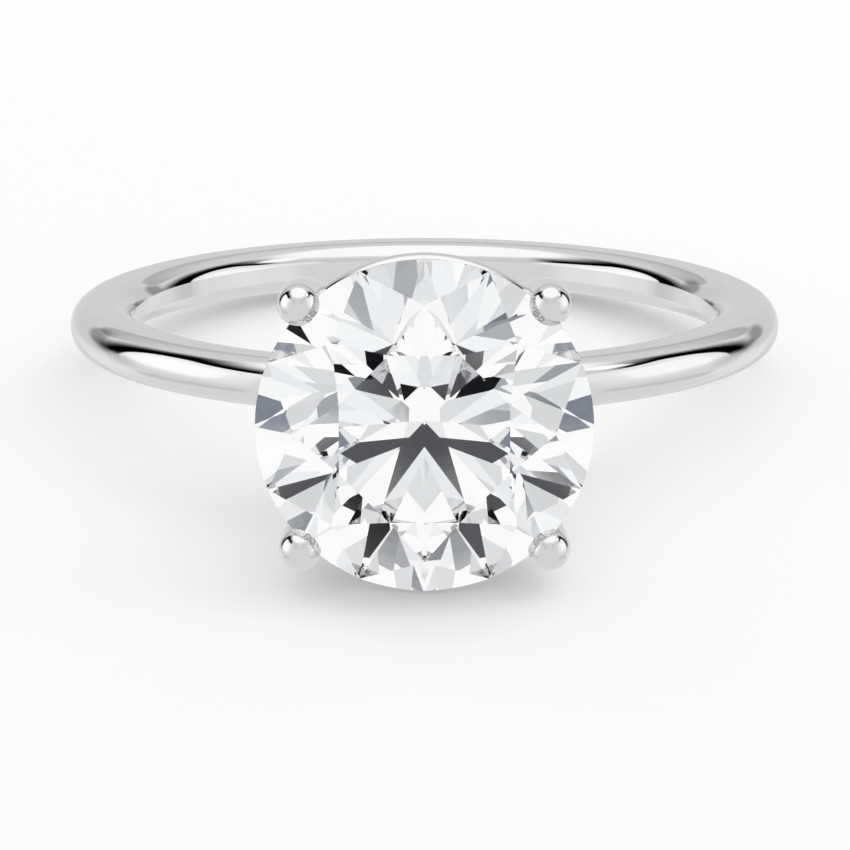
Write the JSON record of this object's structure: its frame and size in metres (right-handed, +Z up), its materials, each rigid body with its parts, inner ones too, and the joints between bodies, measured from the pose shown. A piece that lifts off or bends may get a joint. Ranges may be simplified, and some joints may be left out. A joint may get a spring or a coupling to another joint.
{
  "type": "engagement ring",
  "caption": "Solitaire finger ring: a slim rounded shank and a four-prong basket head holding a large round brilliant, lying on its side.",
  "frame": {"origin": "centre of the finger hole, at the middle of the shank's width and circle", "axes": "+Z up from the surface that the ring lies on, -Y towards the stone's face, +X to the right of someone who faces the stone. The ring rests on its gallery rail and on the far side of its shank, so the axis of the finger hole leans about 9 degrees from +Z, in the YZ plane."},
  "size_m": [0.0206, 0.0262, 0.0089],
  "materials": {
    "polished_metal": "mirror-polished white gold",
    "diamond": "clear, faceted and polished"
  },
  "bodies": {
    "root": {"shank": "polished_metal", "base_ring": "polished_metal", "gallery_rail": "polished_metal", "prong_upper_left": "polished_metal", "prong_upper_right": "polished_metal", "prong_lower_left": "polished_metal", "prong_lower_right": "polished_metal", "center_stone": "diamond"}
  },
  "joints": []
}
